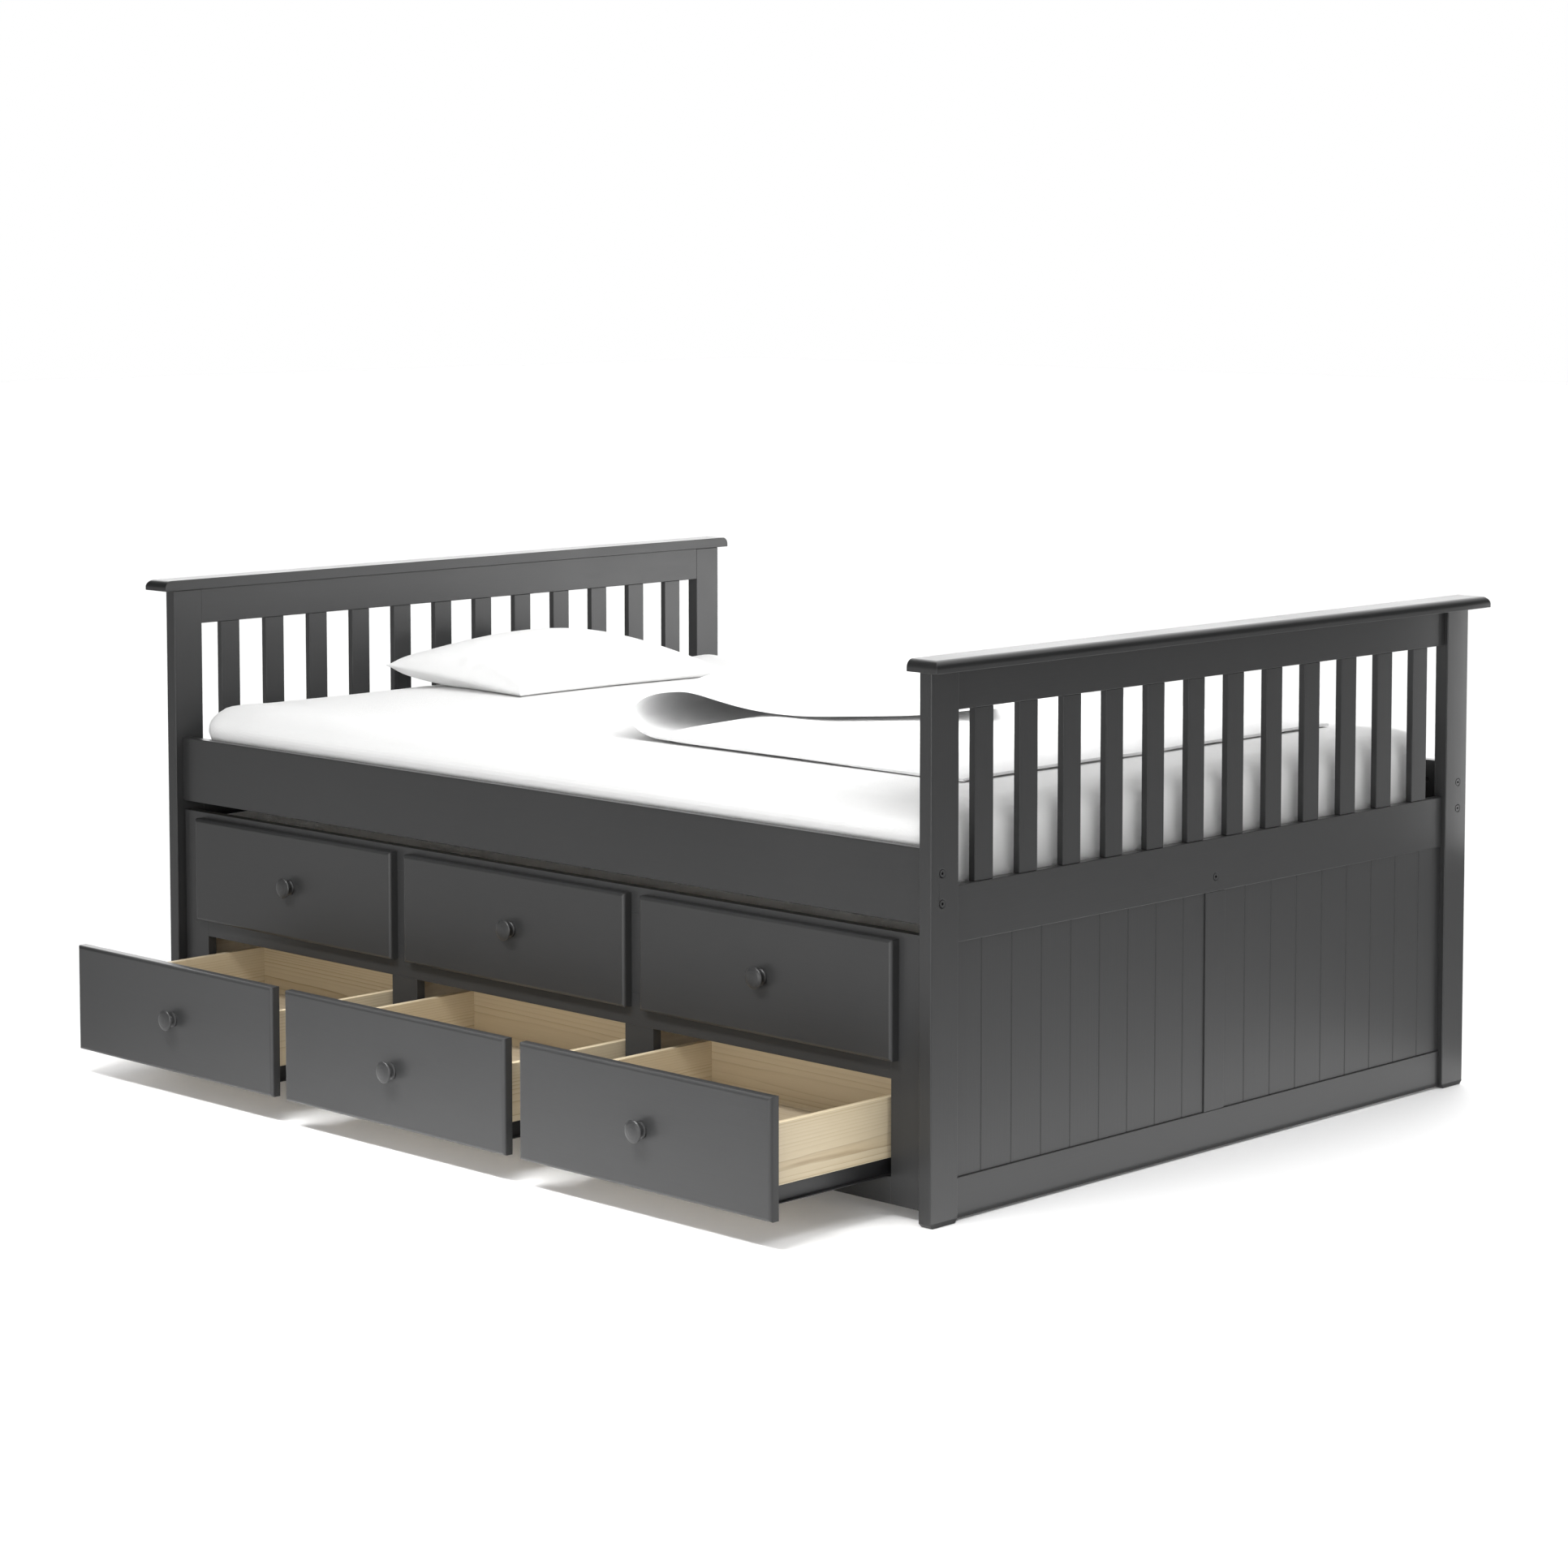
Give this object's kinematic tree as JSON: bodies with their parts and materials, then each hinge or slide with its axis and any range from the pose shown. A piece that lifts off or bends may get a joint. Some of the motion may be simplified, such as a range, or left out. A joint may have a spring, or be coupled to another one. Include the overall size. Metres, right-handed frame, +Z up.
{
  "type": "trundle bed",
  "caption": "Slatted bed frame with a mattress, pillow and folded quilt, over a rolling trundle that holds a twin mattress behind false drawer fronts, with real drawers standing open below.",
  "frame": {"origin": "on the floor, under the middle of the whole object's box with its drawers standing open; the middle of the bed frame is 0.1345 m from it along +Y", "axes": "+X along the bed from the head end to the foot end, -Y the side that the trundle and the drawers come out of, +Z up"},
  "size_m": [2.036, 1.769, 0.9],
  "materials": {
    "charcoal_paint": "satin charcoal lacquer on solid wood and board",
    "pine": "clear-finished pine with visible grain",
    "plywood": "sanded plywood",
    "black_steel": "black epoxy coat",
    "mattress_cover": "white fitted cotton sheet",
    "pillow_cotton": "white cotton pillowcase",
    "quilt_cotton": "thin white cotton quilt",
    "caster_plastic": "black moulded nylon"
  },
  "bodies": {
    "bed_frame": {"headboard_post_front": "charcoal_paint", "headboard_post_back": "charcoal_paint", "headboard_cap": "charcoal_paint", "headboard_top_rail": "charcoal_paint", "headboard_slats": "charcoal_paint", "headboard_mid_rail": "charcoal_paint", "headboard_panels": "charcoal_paint", "headboard_stile": "charcoal_paint", "headboard_bottom_rail": "charcoal_paint", "footboard_post_front": "charcoal_paint", "footboard_post_back": "charcoal_paint", "footboard_cap": "charcoal_paint", "footboard_top_rail": "charcoal_paint", "footboard_slats": "charcoal_paint", "footboard_mid_rail": "charcoal_paint", "footboard_panels": "charcoal_paint", "footboard_stile": "charcoal_paint", "footboard_bottom_rail": "charcoal_paint", "side_rail_front": "charcoal_paint", "side_rail_back": "charcoal_paint", "slat_cleats": "pine", "centre_beam": "pine", "bed_slats": "pine", "frame_bolts": "black_steel", "barrel_nuts": "black_steel", "mattress": "mattress_cover", "pillow": "pillow_cotton", "quilt": "quilt_cotton"},
    "trundle": {"trundle_stiles": "charcoal_paint", "trundle_rails": "charcoal_paint", "trundle_mullions": "charcoal_paint", "false_fronts": "charcoal_paint", "false_front_knobs": "charcoal_paint", "trundle_bearers": "plywood", "trundle_back": "plywood", "slide_rails": "pine", "slide_channels": "black_steel", "trundle_slats": "pine", "trundle_mattress": "mattress_cover", "caster_brackets": "black_steel", "caster_axles": "black_steel"},
    "wheel_front_left": {"wheel_front_left": "caster_plastic"},
    "wheel_front_right": {"wheel_front_right": "caster_plastic"},
    "wheel_back_left": {"wheel_back_left": "caster_plastic"},
    "wheel_back_right": {"wheel_back_right": "caster_plastic"},
    "drawer_left": {"drawer_left_front": "charcoal_paint", "drawer_left_box": "pine", "drawer_left_bottom": "plywood", "drawer_left_knob": "charcoal_paint", "drawer_left_runners": "black_steel"},
    "drawer_middle": {"drawer_middle_front": "charcoal_paint", "drawer_middle_box": "pine", "drawer_middle_bottom": "plywood", "drawer_middle_knob": "charcoal_paint", "drawer_middle_runners": "black_steel"},
    "drawer_right": {"drawer_right_front": "charcoal_paint", "drawer_right_box": "pine", "drawer_right_bottom": "plywood", "drawer_right_knob": "charcoal_paint", "drawer_right_runners": "black_steel"}
  },
  "joints": [
    {"name": "trundle_slide", "type": "slide", "parent": "bed_frame", "child": "trundle", "axis": [0, -1, 0], "range_m": [0, 0.98]},
    {"name": "drawer_left_slide", "type": "slide", "parent": "trundle", "child": "drawer_left", "axis": [0, -1, 0], "range_m": [-0.269, 0.031]},
    {"name": "drawer_middle_slide", "type": "slide", "parent": "trundle", "child": "drawer_middle", "axis": [0, -1, 0], "range_m": [-0.269, 0.031]},
    {"name": "drawer_right_slide", "type": "slide", "parent": "trundle", "child": "drawer_right", "axis": [0, -1, 0], "range_m": [-0.269, 0.031]},
    {"name": "wheel_front_left_spin", "type": "hinge", "parent": "trundle", "child": "wheel_front_left", "pos_m": [-0.91075, -0.5155, 0.025], "axis": [1, 0, 0], "continuous": true},
    {"name": "wheel_front_right_spin", "type": "hinge", "parent": "trundle", "child": "wheel_front_right", "pos_m": [0.91075, -0.5155, 0.025], "axis": [1, 0, 0], "continuous": true},
    {"name": "wheel_back_left_spin", "type": "hinge", "parent": "trundle", "child": "wheel_back_left", "pos_m": [-0.91075, 0.3845, 0.025], "axis": [1, 0, 0], "continuous": true},
    {"name": "wheel_back_right_spin", "type": "hinge", "parent": "trundle", "child": "wheel_back_right", "pos_m": [0.91075, 0.3845, 0.025], "axis": [1, 0, 0], "continuous": true}
  ],
  "couplings": [
    {"joint": "wheel_front_left_spin", "follows": "trundle_slide", "rad_per_m": 40},
    {"joint": "wheel_front_right_spin", "follows": "trundle_slide", "rad_per_m": 40},
    {"joint": "wheel_back_left_spin", "follows": "trundle_slide", "rad_per_m": 40},
    {"joint": "wheel_back_right_spin", "follows": "trundle_slide", "rad_per_m": 40}
  ]
}
